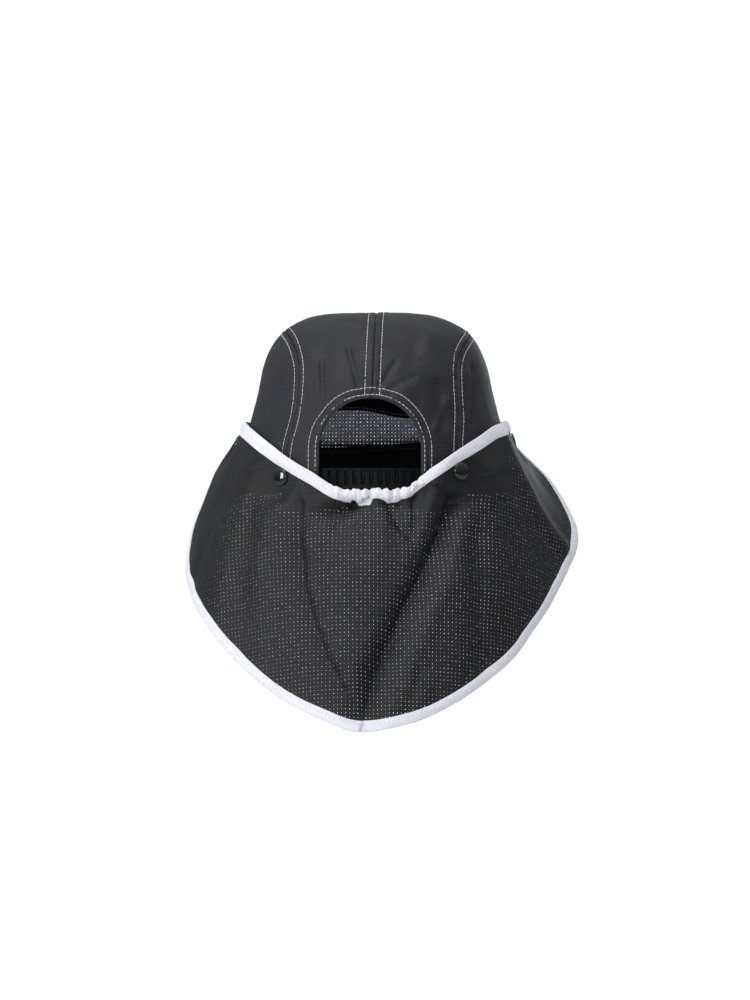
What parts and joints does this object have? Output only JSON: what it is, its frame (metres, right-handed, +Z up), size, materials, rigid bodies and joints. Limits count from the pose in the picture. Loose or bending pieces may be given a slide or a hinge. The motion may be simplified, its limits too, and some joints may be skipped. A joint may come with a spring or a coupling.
{
  "type": "surf cap with a removable neck flap",
  "caption": "Soft five-panel cap with a peak, an arched back opening with a slotted strap, and a flared neck flap held by snaps.",
  "frame": {"origin": "middle of the head opening, level with the rim, where a head carries the cap", "axes": "+Z up, +Y towards the peak, +X to the wearer's right"},
  "size_m": [0.2614, 0.3149, 0.2683],
  "materials": {
    "ripstop": "charcoal ripstop with a fine raised grid and pinholes",
    "dark_cloth": "matt black knit",
    "white_binding": "white twill tape",
    "strap_plastic": "satin black moulded plastic",
    "snap_gloss": "gloss black",
    "thread": "cream topstitching thread"
  },
  "bodies": {
    "root": {"front_panel": "ripstop", "top_panel_left": "ripstop", "top_panel_right": "ripstop", "side_panel_left": "ripstop", "side_panel_right": "ripstop", "peak": "ripstop", "opening_facing": "ripstop", "neck_flap": "ripstop", "sweatband": "dark_cloth", "front_seam_tape": "dark_cloth", "adjuster_strap_slotted": "strap_plastic", "adjuster_strap_pegged": "strap_plastic", "flap_top_binding": "white_binding", "flap_hem_binding": "white_binding", "snap_cap_back_left": "snap_gloss", "snap_cap_back_right": "snap_gloss", "snap_cap_side_left": "snap_gloss", "snap_cap_side_right": "snap_gloss", "snap_stud_back_left": "snap_gloss", "snap_stud_back_right": "snap_gloss", "snap_stud_side_left": "snap_gloss", "snap_stud_side_right": "snap_gloss"}
  },
  "joints": []
}
